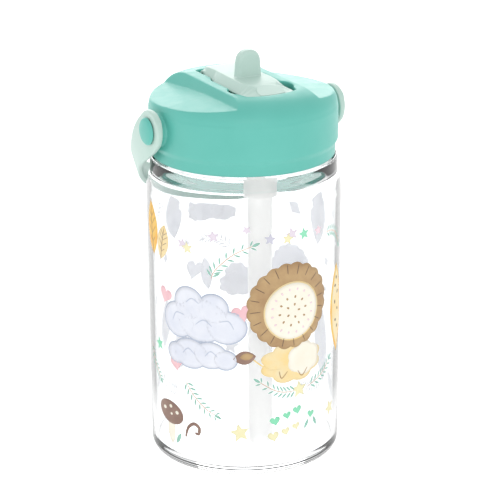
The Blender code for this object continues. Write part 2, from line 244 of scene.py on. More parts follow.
def skinned(sections):
    """A bmesh skinned over a row of closed sections, with both ends capped."""
    shape = bmesh.new()
    loops = [[shape.verts.new(point) for point in section] for section in sections]
    count = len(loops[0])
    for near, far in zip(loops, loops[1:]):
        for i in range(count):
            j = (i + 1) % count
            shape.faces.new((near[i], near[j], far[j], far[i]))
    shape.faces.new(loops[0])
    shape.faces.new(loops[-1])
    bmesh.ops.recalc_face_normals(shape, faces=shape.faces)
    return shape


def bar(start, end, radius, facets=48):
    start, end = Vector(start), Vector(end)
    along = (end - start).normalized()
    side = along.orthogonal().normalized()
    up = along.cross(side)
    turn = [2 * math.pi * i / facets for i in range(facets)]
    ring = [side * (radius * math.cos(a)) + up * (radius * math.sin(a)) for a in turn]
    return skinned([[start + p for p in ring], [end + p for p in ring]])


def slab(plan, low, high):
    return skinned([[(x, y, z) for x, y in plan] for z in (low, high)])


def rectangle(half, front, rear):
    return [(-half, front), (half, front), (half, rear), (-half, rear)]


def along_pin(half, radius):
    """A bar on the cover's hinge line, reaching this far to both sides."""
    return bar((-half, PIN_Y, PIN_Z), (half, PIN_Y, PIN_Z), radius)


def along_pivot(side, inner, outer, radius):
    """A bar on the handle's pivot line, from one distance off the middle to another."""
    return bar((side * inner, 0, PIVOT_Z), (side * outer, 0, PIVOT_Z), radius)


def combine(piece, shape, operation):
    """Cut or join a shape with a piece, and apply it."""
    tool = mesh_piece("tool", shape)
    step = piece.modifiers.new("tool", "BOOLEAN")
    step.operation = operation
    step.object = tool
    apply_modifiers(piece)
    bpy.data.objects.remove(tool, do_unlink=True)


def apply_modifiers(piece):
    graph = bpy.context.evaluated_depsgraph_get()
    mesh = bpy.data.meshes.new_from_object(piece.evaluated_get(graph))
    piece.modifiers.clear()
    old = piece.data
    piece.data = mesh
    bpy.data.meshes.remove(old)


def soften(piece, voxel, passes):
    """Give a cut piece the small even radii of a moulding: remesh it finely, then relax it."""
    remesh = piece.modifiers.new("remesh", "REMESH")
    remesh.mode = "VOXEL"
    remesh.voxel_size = voxel * MM
    remesh.use_smooth_shade = True
    relax = piece.modifiers.new("relax", "SMOOTH")
    relax.factor = 0.5
    relax.iterations = passes
    apply_modifiers(piece)
    piece.data.shade_smooth()


# ---------------------------------------------------------------- materials

def new_material(name):
    material = bpy.data.materials.new(name)
    material.use_nodes = True
    nodes = material.node_tree.nodes
    return material, nodes, material.node_tree.links, nodes["Principled BSDF"]


def noise(nodes, links, coordinates, scale, detail=3.0, roughness=0.5):
    texture = nodes.new("ShaderNodeTexNoise")
    texture.inputs["Scale"].default_value = scale
    texture.inputs["Detail"].default_value = detail
    texture.inputs["Roughness"].default_value = roughness
    links.new(coordinates, texture.inputs["Vector"])
    return texture.outputs["Fac"]


def spread(nodes, links, value, low, high):
    """Map a noise's middle range to low..high."""
    mapper = nodes.new("ShaderNodeMapRange")
    mapper.inputs["From Min"].default_value = 0.3
    mapper.inputs["From Max"].default_value = 0.7
    mapper.inputs["To Min"].default_value = low
    mapper.inputs["To Max"].default_value = high
    links.new(value, mapper.inputs["Value"])
    return mapper.outputs["Result"]


def moulded_plastic(name, colour, shade, roughness, glow=0.0):
    """Satin moulded plastic: faint cloudy colour, a fine spark-eroded grain and soft scuffs.

    The glow stands for light that the pale lid lets through to its inside.
    """
    material, nodes, links, shader = new_material(name)
    place = nodes.new("ShaderNodeTexCoord").outputs["Object"]
    mix = nodes.new("ShaderNodeMix")
    mix.data_type = "RGBA"
    mix.inputs["A"].default_value = (*colour, 1)
    mix.inputs["B"].default_value = (*shade, 1)
    links.new(spread(nodes, links, noise(nodes, links, place, 55.0, 4.0), 0.0, 1.0), mix.inputs["Factor"])
    links.new(mix.outputs["Result"], shader.inputs["Base Color"])
    scuffs = noise(nodes, links, place, 260.0, 5.0)
    links.new(spread(nodes, links, scuffs, roughness - 0.04, roughness + 0.05), shader.inputs["Roughness"])
    bump = nodes.new("ShaderNodeBump")
    bump.inputs["Strength"].default_value = 0.25
    bump.inputs["Distance"].default_value = 0.00004
    links.new(noise(nodes, links, place, 2600.0, 2.0), bump.inputs["Height"])
    links.new(bump.outputs["Normal"], shader.inputs["Normal"])
    shader.inputs["IOR"].default_value = 1.49
    shader.inputs["Emission Color"].default_value = (*colour, 1)
    shader.inputs["Emission Strength"].default_value = glow
    return material


def clear_plastic(name):
    """Polished clear copolyester, with the faint ripple that moulding leaves."""
    material, nodes, links, shader = new_material(name)
    place = nodes.new("ShaderNodeTexCoord").outputs["Object"]
    shader.inputs["Base Color"].default_value = (0.985, 0.995, 1.0, 1)
    shader.inputs["Roughness"].default_value = 0.0
    shader.inputs["IOR"].default_value = 1.5
    shader.inputs["Transmission Weight"].default_value = 1.0
    bump = nodes.new("ShaderNodeBump")
    bump.inputs["Strength"].default_value = 0.05
    bump.inputs["Distance"].default_value = 0.0001
    links.new(noise(nodes, links, place, 60.0, 1.0), bump.inputs["Height"])
    links.new(bump.outputs["Normal"], shader.inputs["Normal"])
    let_lamps_through(nodes, links, shader)
    return material


def let_lamps_through(nodes, links, shader):
    """Lamps shine through this plastic without the dark shadow that solid glass would cast."""
    ray = nodes.new("ShaderNodeLightPath")
    open_way = nodes.new("ShaderNodeBsdfTransparent")
    mix = nodes.new("ShaderNodeMixShader")
    links.new(ray.outputs["Is Shadow Ray"], mix.inputs["Fac"])
    links.new(shader.outputs["BSDF"], mix.inputs[1])
    links.new(open_way.outputs["BSDF"], mix.inputs[2])
    links.new(mix.outputs["Shader"], nodes["Material Output"].inputs["Surface"])


def frosted_plastic(name, colour, transmission, roughness, glow):
    """Translucent milky plastic; the glow stands for light that scatters through its thin wall."""
    material, nodes, links, shader = new_material(name)
    place = nodes.new("ShaderNodeTexCoord").outputs["Object"]
    mix = nodes.new("ShaderNodeMix")
    mix.data_type = "RGBA"
    mix.inputs["A"].default_value = (*colour, 1)
    mix.inputs["B"].default_value = (*[c * 0.97 for c in colour], 1)
    links.new(spread(nodes, links, noise(nodes, links, place, 90.0), 0.0, 1.0), mix.inputs["Factor"])
    links.new(mix.outputs["Result"], shader.inputs["Base Color"])
    shader.inputs["Transmission Weight"].default_value = transmission
    shader.inputs["Roughness"].default_value = roughness
    shader.inputs["IOR"].default_value = 1.42
    shader.inputs["Emission Color"].default_value = (*colour, 1)
    shader.inputs["Emission Strength"].default_value = glow
    return material


def pin_steel():
    material, nodes, links, shader = new_material("drawn_steel")
    place = nodes.new("ShaderNodeTexCoord").outputs["Object"]
    shader.inputs["Base Color"].default_value = (0.62, 0.62, 0.63, 1)
    shader.inputs["Metallic"].default_value = 1.0
    links.new(spread(nodes, links, noise(nodes, links, place, 900.0), 0.2, 0.4), shader.inputs["Roughness"])
    return material


MINT = moulded_plastic("mint_plastic", (0.118, 0.490, 0.420), (0.104, 0.465, 0.395), 0.38)
PALE = moulded_plastic("pale_mint_plastic", (0.50, 0.66, 0.60), (0.47, 0.63, 0.57), 0.38)
LINER = moulded_plastic("liner_plastic", (0.72, 0.90, 0.86), (0.69, 0.88, 0.83), 0.45, 0.3)
CLEAR = clear_plastic("clear_copolyester")
FROSTED = frosted_plastic("frosted_plastic", (0.95, 0.945, 0.935), 0.5, 0.35, 0.12)
SILICONE = frosted_plastic("silicone", (0.92, 0.93, 0.93), 0.35, 0.5, 0.1)
STEEL = pin_steel()


def printing_ink(name, colour, pooled, glow=0.0):
    """Flat printed ink with the pale washes and darker pools of a watercolour.

    The glow stands for daylight that comes through the ink from behind.
    """
    material, nodes, links, shader = new_material("ink_" + name)
    place = nodes.new("ShaderNodeTexCoord").outputs["Object"]
    mix = nodes.new("ShaderNodeMix")
    mix.data_type = "RGBA"
    mix.inputs["A"].default_value = (*colour, 1)
    mix.inputs["B"].default_value = (*pooled, 1)
    wash = noise(nodes, links, place, 130.0, 5.0, 0.55)
    links.new(spread(nodes, links, wash, 0.0, 1.0), mix.inputs["Factor"])
    links.new(mix.outputs["Result"], shader.inputs["Base Color"])
    links.new(spread(nodes, links, noise(nodes, links, place, 700.0), 0.38, 0.52), shader.inputs["Roughness"])
    shader.inputs["Emission Color"].default_value = (*colour, 1)
    shader.inputs["Emission Strength"].default_value = glow
    return material


# Each ink: its wash and its pooled colour
INK_TONES = {
    "cloud": ((0.76, 0.78, 0.84), (0.66, 0.69, 0.78)),
    "cloud_edge": ((0.55, 0.60, 0.70), (0.46, 0.52, 0.64)),
    "pink": ((0.84, 0.55, 0.58), (0.78, 0.46, 0.50)),
    "blush": ((0.86, 0.68, 0.73), (0.82, 0.62, 0.68)),
    "tan": ((0.50, 0.34, 0.165), (0.36, 0.215, 0.10)),
    "umber": ((0.17, 0.105, 0.065), (0.11, 0.07, 0.045)),
    "cream": ((0.88, 0.84, 0.74), (0.84, 0.79, 0.66)),
    "straw_yellow": ((0.84, 0.62, 0.25), (0.80, 0.70, 0.46)),
    "pale_yellow": ((0.84, 0.80, 0.52), (0.80, 0.75, 0.45)),
    "orange": ((0.83, 0.36, 0.045), (0.80, 0.55, 0.10)),
    "brown": ((0.32, 0.20, 0.15), (0.22, 0.13, 0.10)),
    "green": ((0.20, 0.65, 0.40), (0.28, 0.72, 0.48)),
    "sage": ((0.22, 0.47, 0.37), (0.33, 0.60, 0.50)),
    "stem": ((0.66, 0.43, 0.28), (0.58, 0.36, 0.24)),
    "lilac": ((0.76, 0.68, 0.76), (0.70, 0.62, 0.71)),
    "grey": ((0.58, 0.57, 0.66), (0.52, 0.52, 0.61)),
    "pale_blue": ((0.62, 0.74, 0.82), (0.54, 0.68, 0.78)),
}
UNDERLAY = printing_ink("underlay", (0.86, 0.85, 0.88), (0.80, 0.80, 0.85), 0.34)


# ---------------------------------------------------------------- body

def thread_height(height, angle, foot):
    """How far up the ridge of a right-hand thread this place is, from 0 to 1."""
    best = 0.0
    for turn in (0, 1):
        sweep = angle + 2 * math.pi * turn
        if sweep > 2 * math.pi * TURNS:
            continue
        centre = foot + PITCH * sweep / (2 * math.pi)
        across = abs(height - centre)
        rise = min(1.0, max(0.0, (RIDGE_HALF - across) / RIDGE_FLANK))
        end = min(1.0, min(sweep, 2 * math.pi * TURNS - sweep) / RIDGE_FADE)
        best = max(best, rise * end)
    return best


def body_radius(radius, height, angle):
    if abs(radius - NECK_R) > 0.01:
        return radius
    return radius + THREAD_DEPTH * thread_height(height, angle, THREAD_FOOT)


def body_outline():
    taper = [(FOOT_R + (BODY_R - FOOT_R) * (z - FOOT_FILLET) / (WALL_TOP - FOOT_FILLET), z)
             for z in (20, 40, 60, 80, 95)]
    outer = [(0, 0), (15, 0), (28, 0)]
    outer += arc(FOOT_R - FOOT_FILLET, FOOT_FILLET, FOOT_FILLET, -90, 0, 14) + taper
    outer += blend_curve([(BODY_R, WALL_TOP), (36.85, 107.0), (36.4, 109.2), (35.85, 111.0)], 5)
    outer += [(COLLAR_R + 0.12, COLLAR_FOOT - 0.15), (COLLAR_R, COLLAR_FOOT + 0.15), (COLLAR_R, 115.0)]
    outer += arc(COLLAR_R - 0.7, COLLAR_TOP - 0.7, 0.7, 0, 90, 6)
    outer += [(33.0, COLLAR_TOP)] + arc(NECK_R + 0.6, COLLAR_TOP + 0.6, 0.6, -90, -180, 5)
    rows = round((RIM - 0.6 - COLLAR_TOP - 0.7) / 0.2)
    outer += [(NECK_R, COLLAR_TOP + 0.7 + 0.2 * i) for i in range(1, rows)]
    outer += arc(NECK_R - 0.5, RIM - 0.5, 0.5, 0, 90, 5)
    inner = arc(NECK_BORE + 0.4, RIM - 0.4, 0.4, 90, 180, 5)
    inner += [(NECK_BORE, COLLAR_TOP + 4)]
    inner += blend_curve([(NECK_BORE, COLLAR_TOP - 0.5), (28.3, 115.6), (30.6, 113.2), (33.4, 110.4),
                          (34.6, 107.4), (BODY_R - WALL, 103.5)], 4)
    inner += [(r - WALL, z) for r, z in reversed(taper)]
    inner += arc(FOOT_R - WALL - 3.5, FLOOR + 3.5, 3.5, 0, -90, 10) + [(20, FLOOR), (0, FLOOR)]
    return outer + inner


def make_body():
    body = mesh_piece("clear_body", turned(body_outline(), 192, radius_at=body_radius), [CLEAR])
    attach(body, "bottle")
    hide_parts("bottle_body")


# ---------------------------------------------------------------- printed decoration
#
# Every patch of ink is a thin closed solid wrapped on the wall. Its outline is drawn on the unrolled
# wall, in millimetres to the right of and above a motif's centre.

inks = {}


def wall_point(turn, height, across, up, depth):
    """A place on the unrolled wall: turn in degrees and height in mm, then the offset from there."""
    z = height + up
    radius = FOOT_R + (BODY_R - FOOT_R) * (z - FOOT_FILLET) / (WALL_TOP - FOOT_FILLET)
    angle = FACING + math.radians(turn) + across / BODY_R
    return ((radius + depth) * math.cos(angle), (radius + depth) * math.sin(angle), z)


def sealed_sheet(tone, place, grid, faces, rim, layer):
    """Add one patch: a front and a back sheet over the same points, joined round the rim."""
    shape = inks.setdefault(tone, bmesh.new())
    back_depth = PRINT_LIFT + layer * INK_PITCH
    front = [shape.verts.new(wall_point(*place, x, y, back_depth + INK_THICK)) for x, y in grid]
    back = [shape.verts.new(wall_point(*place, x, y, back_depth)) for x, y in grid]
    for corners in faces:
        shape.faces.new([front[i] for i in corners])
        shape.faces.new([back[i] for i in reversed(corners)]).material_index = 1
    for i, j in zip(rim, rim[1:] + rim[:1]):
        shape.faces.new([front[j], front[i], back[i], back[j]])


def patch(tone, place, outline, layer=0, centre=(0.0, 0.0)):
    """A patch whose outline can be seen whole from its centre."""
    cx, cy = centre
    reach = max(math.hypot(x - cx, y - cy) for x, y in outline)
    rings = max(1, math.ceil(reach / INK_GRID))
    count = len(outline)
    grid = [centre]
    for k in range(1, rings + 1):
        grid += [(cx + (x - cx) * k / rings, cy + (y - cy) * k / rings) for x, y in outline]
    faces = [(0, 1 + i, 1 + (i + 1) % count) for i in range(count)]
    for k in range(rings - 1):
        near, far = 1 + k * count, 1 + (k + 1) * count
        faces += [(near + i, far + i, far + (i + 1) % count, near + (i + 1) % count) for i in range(count)]
    first = 1 + (rings - 1) * count
    sealed_sheet(tone, place, grid, faces, [first + i for i in range(count)], layer)


def stroke(tone, place, points, width, layer=0):
    """A brush stroke along a smooth curve, fine at both ends."""
    path = blend_curve(points, 4)
    left, right = [], []
    for i, (x, y) in enumerate(path):
        (ax, ay), (bx, by) = path[max(i - 1, 0)], path[min(i + 1, len(path) - 1)]
        run = math.hypot(bx - ax, by - ay) or 1.0
        share = i / (len(path) - 1)
        half = width / 2 * (0.35 + 0.65 * math.sin(math.pi * min(1.0, max(0.0, share))) ** 0.5)
        left.append((x - (by - ay) / run * half, y + (bx - ax) / run * half))
        right.append((x + (by - ay) / run * half, y - (bx - ax) / run * half))
    count = len(path)
    faces = [(count + i, count + i + 1, i + 1, i) for i in range(count - 1)]
    rim = list(range(count, 2 * count)) + list(range(count - 1, -1, -1))
    sealed_sheet(tone, place, left + right, faces, rim, layer)


def turned_points(points, tilt, centre=(0.0, 0.0)):
    c, s = math.cos(math.radians(tilt)), math.sin(math.radians(tilt))
    return [(centre[0] + x * c - y * s, centre[1] + x * s + y * c) for x, y in points]


def oval(half_width, half_height, tilt=0.0, lobes=0, depth=0.0, centre=(0.0, 0.0)):
    """An ellipse, with soft scallops when lobes are asked for."""
    count = max(28, lobes * 6, round(2.2 * (half_width + half_height)))
    points = []
    for i in range(count):
        a = 2 * math.pi * i / count
        swell = 1 + depth * (abs(math.sin(lobes * a / 2)) - 0.6) if lobes else 1.0
        points.append((half_width * swell * math.cos(a), half_height * swell * math.sin(a)))
    return turned_points(points, tilt, centre)


def star_outline(radius, tilt):
    points = []
    for i in range(10):
        r = radius if i % 2 == 0 else radius * 0.47
        a = math.pi / 2 + math.pi * i / 5
        points.append((r * math.cos(a), r * math.sin(a)))
    return turned_points(points, tilt)


def heart_outline(size, tilt=0.0, centre=(0.0, 0.0)):
    points = []
    for i in range(28):
        a = 2 * math.pi * i / 28
        x = 16 * math.sin(a) ** 3
        y = 13 * math.cos(a) - 5 * math.cos(2 * a) - 2 * math.cos(3 * a) - math.cos(4 * a)
        points.append((x * size / 16, y * size / 16))
    return turned_points(points, tilt, centre)


def leaf_outline(length, width, tilt=0.0, centre=(0.0, 0.0)):
    """A pointed leaf lying along its tilt."""
    side = [(-length / 2 + length * i / 8, width / 2 * math.sin(math.pi * i / 8) ** 0.8) for i in range(9)]
    return turned_points(side + [(x, -y) for x, y in side[-2:0:-1]], tilt, centre)


def veined_leaf(tone, place, length, width, tilt, centre, layer):
    """A leaf with a midrib and four pairs of side veins."""
    patch(tone, place, leaf_outline(length, width, tilt, centre), layer, centre)
    midrib = [(-length * 0.52, 0), (0, 0.02 * length), (length * 0.4, 0)]
    stroke("brown", place, turned_points(midrib, tilt, centre), 0.34, layer + 1)
    for share in (-0.26, -0.1, 0.06, 0.2):
        reach = width * 0.34 * math.cos(math.pi * share)
        for side in (-1, 1):
            vein = [(length * share, 0), (length * share + 0.5 * reach, side * 0.55 * reach),
                    (length * share + 0.9 * reach, side * reach)]
            stroke("brown", place, turned_points(vein, tilt, centre), 0.22, layer + 1)


def sprig(place, points, leaf_length):
    """A thin curved stem with leaves in pairs, and one at its tip."""
    stroke("stem", place, points, 0.32)
    path = blend_curve(points, 3)
    for i in range(1, len(path) - 1):
        (ax, ay), (bx, by) = path[i - 1], path[i + 1]
        run = math.degrees(math.atan2(by - ay, bx - ax))
        size = leaf_length * (1.0 - 0.35 * i / len(path))
        for side in (-1, 1):
            tilt = run + side * 48
            reach = size / 2 + 0.35
            middle = (path[i][0] + reach * math.cos(math.radians(tilt)),
                      path[i][1] + reach * math.sin(math.radians(tilt)))
            patch("sage", place, leaf_outline(size, size * 0.24, tilt, middle), 1, middle)
    (ax, ay), tip = path[-2:]
    run = math.degrees(math.atan2(tip[1] - ay, tip[0] - ax))
    patch("sage", place, leaf_outline(leaf_length, leaf_length * 0.34, run, tip), 1, tip)


def rolled(turn, height, targets):
    """Points given as (turn, height) on the wall, as offsets from a motif's centre."""
    return [(math.radians(t - turn) * BODY_R, z - height) for t, z in targets]


def print_front():
    clouds = (-27, 60)
    rim = 0.55
    for centre, half_width, half_height in (
            ((-4.5, -11.5), 7.6, 5.6), ((4.0, -11.0), 6.6, 5.0), ((-11.0, -12.5), 4.6, 3.8),
            ((10.0, -12.4), 4.4, 3.6), ((-10.0, 1.0), 7.4, 6.6), ((10.5, 0.6), 7.6, 6.2),
            ((0.5, 2.6), 10.5, 8.4), ((-5.0, 8.4), 6.4, 6.2), ((5.4, 7.6), 5.8, 5.6)):
        patch("cloud_edge", clouds, oval(half_width + rim, half_height + rim, 0, 0, 0, centre), 0, centre)
        patch("cloud", clouds, oval(half_width, half_height, 0, 0, 0, centre), 1, centre)
    for points in ([(-13, 0), (-11, 3.6), (-7, 3.4)], [(13.5, 0), (11.4, 3.2), (8, 2.6)],
                   [(-6, 8.6), (-3.4, 10.6), (-0.4, 9.0)], [(-2, 0.4), (1.5, 2.8), (5, 0.6)],
                   [(-8, -12), (-5.4, -9.6), (-2.4, -11.6)], [(2, -11.6), (4.4, -9.4), (7, -11.4)]):
        stroke("cloud_edge", clouds, points, 0.42, 2)
    for turn, height, size, tilt in ((-53.5, 69.0, 3.6, -16), (-1.5, 66.5, 3.8, 14), (-45.0, 43.0, 3.2, 10)):
        patch("pink", (turn, height), heart_outline(size, tilt), 0)

    flower = (28, 68)
    patch("tan", flower, oval(17.2, 16.8, 0, 20, 0.05), 3)
    for i in range(20):
        a = 2 * math.pi * (i + 0.3) / 20
        inner = 12.4 + 0.9 * math.sin(3.1 * i)
        stroke("umber", flower, [(r * math.cos(a), r * math.sin(a)) for r in (inner, 14.2, 16.3)], 0.3, 4)
    heart = (1.0, -2.2)
    patch("straw_yellow", flower, oval(11.9, 11.6, 0, 0, 0, heart), 4, heart)
    patch("cream", flower, oval(11.3, 11.0, 0, 0, 0, heart), 5, heart)
    for ring, count in ((8.6, 16), (5.6, 10), (2.6, 5)):
        for i in range(count):
            a = 2 * math.pi * (i + 0.4 * ring) / count
            seed = (heart[0] + ring * math.cos(a), heart[1] + ring * math.sin(a))
            tone = "tan" if ring < 8 else "blush"
            patch(tone, flower, oval(0.55, 0.38, math.degrees(a), 0, 0, seed), 6, seed)
    puffs = (30, 45.5)
    patch("straw_yellow", puffs, oval(13.2, 8.0, 0, 8, 0.14), 0)
    patch("cream", puffs, oval(7.4, 6.4, 0, 6, 0.12, (5.0, 0.6)), 1, (5.0, 0.6))
    for points in ([(-6, -3), (-5, -6), (-2.5, -3.5)], [(2, -4), (4, -6.4), (6.5, -3.6)]):
        stroke("tan", puffs, points, 0.4, 2)
    falling = (0, 48.8)
    stroke("straw_yellow", falling, rolled(*falling, [(4, 48.6), (11, 45), (17, 43.2), (22, 43.4)]), 0.7)
    patch("brown", falling, leaf_outline(8.8, 5.4, 8), 1)
    patch("tan", falling, leaf_outline(5.4, 2.8, 8, (0.8, 0.5)), 2, (0.8, 0.5))

    toadstool = (-51, 21)
    patch("cream", toadstool, oval(2.2, 5.4, 4, 0, 0, (0.5, -6.0)), 0, (0.5, -6.0))
    patch("brown", toadstool, oval(7.2, 4.6, -8, 0, 0, (0, 1.0)), 1, (0, 1.0))
    for centre, size in (((-3.6, 2.0), 0.95), ((0.2, 3.4), 0.85), ((3.8, 1.6), 0.9), ((0.6, 0.4), 0.65)):
        patch("cream", toadstool, oval(size, size * 0.8, 0, 0, 0, centre), 2, centre)
    patch("sage", toadstool, leaf_outline(5.4, 1.7, 62, (4.6, -8.6)), 1, (4.6, -8.6))
    curl = (-33, 17.5)
    stroke("brown", curl, [(-3.4, -3.6), (-2.2, 0.4), (0.6, 2.6), (2.9, 1.2), (2.6, -1.2), (1.0, -1.0)], 1.4)

    autumn = (-66, 93)
    veined_leaf("orange", autumn, 21.0, 9.6, 96, (-1.6, 0), 0)
    veined_leaf("straw_yellow", autumn, 14.5, 7.4, 78, (6.8, -3.6), 2)
    tall = (72, 60)
    patch("orange", tall, leaf_outline(36.0, 12.5, 92), 0)
    patch("straw_yellow", tall, leaf_outline(32.0, 9.5, 92), 1)
    for x, y in ((-1.6, 9), (1.2, 6), (-1.8, 2.5), (1.4, -1), (-1.0, -5), (1.2, -8), (-0.4, 12)):
        patch("umber", tall, oval(0.8, 0.55, 40 * y, 0, 0, (x, y)), 2, (x, y))

    small = (
        ("pale_yellow", -34.9, 90.1, 2.6, 8), ("lilac", -38.5, 91.3, 2.4, -14), ("lilac", -18, 96, 2.5, 10),
        ("grey", 15, 95.0, 2.4, -8), ("lilac", 28.6, 96.0, 2.7, 14), ("pale_yellow", 26.0, 94.4, 2.4, -10),
        ("green", 36.9, 95.2, 2.5, 10), ("blush", 48.2, 95, 2.2, 4), ("green", -61.5, 47.8, 2.8, 12),
        ("pale_yellow", -3, 18.5, 4.0, 12), ("pale_yellow", 34.2, 33.8, 3.6, 4),
        ("pale_yellow", 62.8, 20.9, 3.4, 20), ("lilac", 1.5, 99.0, 1.9, 30),
    )
    for tone, turn, height, radius, tilt in small:
        layer = 0 if tone in ("lilac", "grey", "blush") else 1
        patch(tone, (turn, height), star_outline(radius, tilt), layer)

    for start, targets, leaf in (
            ((-17, 80.8), [(-19.5, 79.3), (-17, 83), (-6.3, 89.4), (6.9, 93.3)], 3.4),
            ((7.2, 39.5), [(33, 33.8), (26, 33.6), (18, 35.0), (7.2, 39.5)], 3.2),
            ((40.3, 34), [(40.3, 34), (49, 35.8), (56, 38.2), (61.9, 42.0)], 3.2),
            ((-38.2, 37.5), [(-38.2, 37.5), (-33, 32.6), (-25, 27.6), (-16.2, 24.5)], 3.2),
            ((55, 92.7), [(55, 92.7), (62, 92.6), (69, 90.2), (75, 84.5)], 3.0),
            ((-66, 41), [(-74, 46), (-70, 40), (-64, 36), (-60, 33)], 2.8),
    ):
        sprig(start, rolled(*start, targets), leaf)

    row = (30, 21)
    for tone, x, y, size, tilt in (
            ("green", -7.6, 1.6, 2.1, 12), ("green", -2.6, 3.2, 1.7, 12), ("green", 1.9, 4.6, 1.9, 12),
            ("pale_yellow", -8.2, -4.6, 2.3, 12), ("pale_yellow", -3.2, -3.2, 1.8, 12),
            ("pale_yellow", 1.4, -1.9, 1.7, 12), ("green", 8.6, 1.4, 1.7, -8)):
        patch(tone, row, heart_outline(size, tilt, (x, y)), 0, (x, y))
    for x, y, tilt in ((6.4, -2.2, 60), (10.8, -2.0, 115)):
        patch("sage", row, leaf_outline(4.2, 1.4, tilt, (x, y)), 0, (x, y))


def print_back():
    """The same kinds of pictures round the back, where they also show through the clear body."""
    for tone, turn, height, outline in (
            ("grey", -128, 86, leaf_outline(19, 11, 86)),
            ("pale_blue", -145.8, 85.4, leaf_outline(9.5, 4.2, 70)),
            ("cloud", -166.5, 84.0, oval(5.2, 3.6, 0, 5, 0.14)),
            ("grey", -154.5, 85.0, oval(8.0, 3.9, 0, 7, 0.12)),
            ("blush", 145.6, 87.3, leaf_outline(7.5, 3.8, 40)),
            ("grey", 123.5, 86.5, leaf_outline(24, 11, 92)),
            ("pale_blue", -154.9, 58.7, leaf_outline(14, 5.2, 82)),
            ("blush", -145.8, 61.4, heart_outline(4.4, 20)),
            ("lilac", -139.3, 72.7, star_outline(2.6, 8)), ("lilac", -118, 70.5, star_outline(2.4, -12)),
            ("pale_blue", -116, 44, leaf_outline(20, 9, 100)), ("lilac", -133, 30, oval(5.0, 8.0, 8)),
            ("grey", 118, 36, leaf_outline(34, 11, 84)), ("blush", 168, 76, heart_outline(2.6, -12)),
            ("green", 132, 57, star_outline(2.8, 6)), ("pale_yellow", 141, 41, star_outline(3.4, -12)),
            ("pale_yellow", -171, 27, star_outline(3.8, 10)), ("green", 155, 25, heart_outline(2.8, 8)),
            ("lilac", 166, 93, star_outline(2.3, 16)), ("pale_yellow", 112, 70, star_outline(2.6, 0)),
            ("straw_yellow", 98, 22, leaf_outline(14, 6, 30)), ("blush", -98, 24, heart_outline(3.2, -16)),
            ("green", -92, 76, star_outline(2.6, 10)), ("pale_yellow", -152, 38, heart_outline(2.6, 14)),
            ("lilac", 98, 92, star_outline(2.5, -8)), ("pale_yellow", -96, 58, star_outline(2.8, 22))):
        patch(tone, (turn, height), outline, 0)
    rain = (-176, 53.5)
    for centre, half_width, half_height in (((0, 0), 7.4, 4.6), ((0.5, 4.0), 4.6, 4.0)):
        patch("cloud_edge", rain, oval(half_width + 0.5, half_height + 0.5, 0, 8, 0.14, centre), 0, centre)
        patch("cloud", rain, oval(half_width, half_height, 0, 8, 0.14, centre), 1, centre)
    sun = (147, 62)
    patch("tan", sun, oval(9.6, 9.4, 0, 16, 0.07), 0)
    patch("cream", sun, oval(6.4, 6.2), 1)
    for start, targets in (((170, 40), [(158, 44), (165, 38.6), (174, 36.2), (183, 37)]),
                           ((-110, 90), [(-116, 96), (-111, 91), (-104, 88), (-96, 87.6)]),
                           ((128, 14), [(120, 20), (126, 16), (133, 13.8), (140, 13.6)]),
                           ((-120, 16), [(-130, 13), (-124, 14.6), (-117, 18), (-111, 23)]),
                           ((-163, 70), [(-172, 68), (-166, 71.5), (-159, 73.2), (-152, 73)]),
                           ((108, 50), [(100, 43), (105, 47), (110, 53), (113, 59)])):
        sprig(start, rolled(*start, targets), 3.2)


def make_prints():
    print_front()
    print_back()
    for tone, shape in inks.items():
        ink = mesh_piece("print_" + tone, shape, [printing_ink(tone, *INK_TONES[tone]), UNDERLAY])
        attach(ink, "bottle")


# ---------------------------------------------------------------- lid

def shelf_height(x, y=SHELF_LEVEL_TO):
    return SHELF_EDGE_Z + SHELF_SLOPE * (SHELF_EDGE_X - x) - SHELF_REAR_FALL * max(0.0, y - SHELF_LEVEL_TO)


def shelf_space(side):
    """The space above one side shelf; its inner wall spreads a little towards the rear."""
    above, beyond = 150.0, 45.0
    lean = (BRIDGE_FOOT - BRIDGE_HALF) / (BRIDGE_TOP - shelf_height(BRIDGE_FOOT))
    flares = blend_curve([(-45, 0.0), (5, 0.0), (15, 0.3), (25, 0.9), (45, 2.6)], 5)
    sections = []
    for y, flare in flares:
        foot = BRIDGE_FOOT + flare
        top = BRIDGE_HALF - lean * (above - BRIDGE_TOP)
        outline = [(foot, shelf_height(foot, y)), (beyond, shelf_height(beyond, y))]
        outline += [(beyond, above), (top, above)]
        sections.append([(side * x, y, z) for x, z in outline])
    return skinned(sections)


def bridge_rear_space():
    """The space over the bridge's rear end, which slopes down to the lid's rim."""
    sections = []
    for y in (BRIDGE_LEVEL_TO, 45.0):
        low = BRIDGE_TOP - BRIDGE_REAR_FALL * (y - BRIDGE_LEVEL_TO)
        sections.append([(-40, y, low), (40, y, low), (40, y, 152), (-40, y, 152)])
    return skinned(sections)


def pocket_plan():
    narrow, wide, notch = POCKET_NARROW, POCKET_WIDE, NOTCH_X
    half = [(narrow - 1.5, POCKET_REAR), (narrow - 0.4, POCKET_REAR - 0.4), (narrow, POCKET_REAR - 1.5)]
    half += [(narrow, 9.0), (wide, 4.5), (wide, -9.0)]
    half += [(notch - 0.5, -10.6), (notch, -12.6), (notch, -14.6), (notch - 0.5, -16.6), (wide + 0.4, -18.2)]
    reach = math.asin((wide - 0.6) / POCKET_FRONT_R)
    for i in range(10):
        a = reach * (1 - i / 10)
        half.append((POCKET_FRONT_R * math.sin(a), -POCKET_FRONT_R * math.cos(a)))
    return half + [(0.0, -POCKET_FRONT_R)] + [(-x, y) for x, y in reversed(half)]


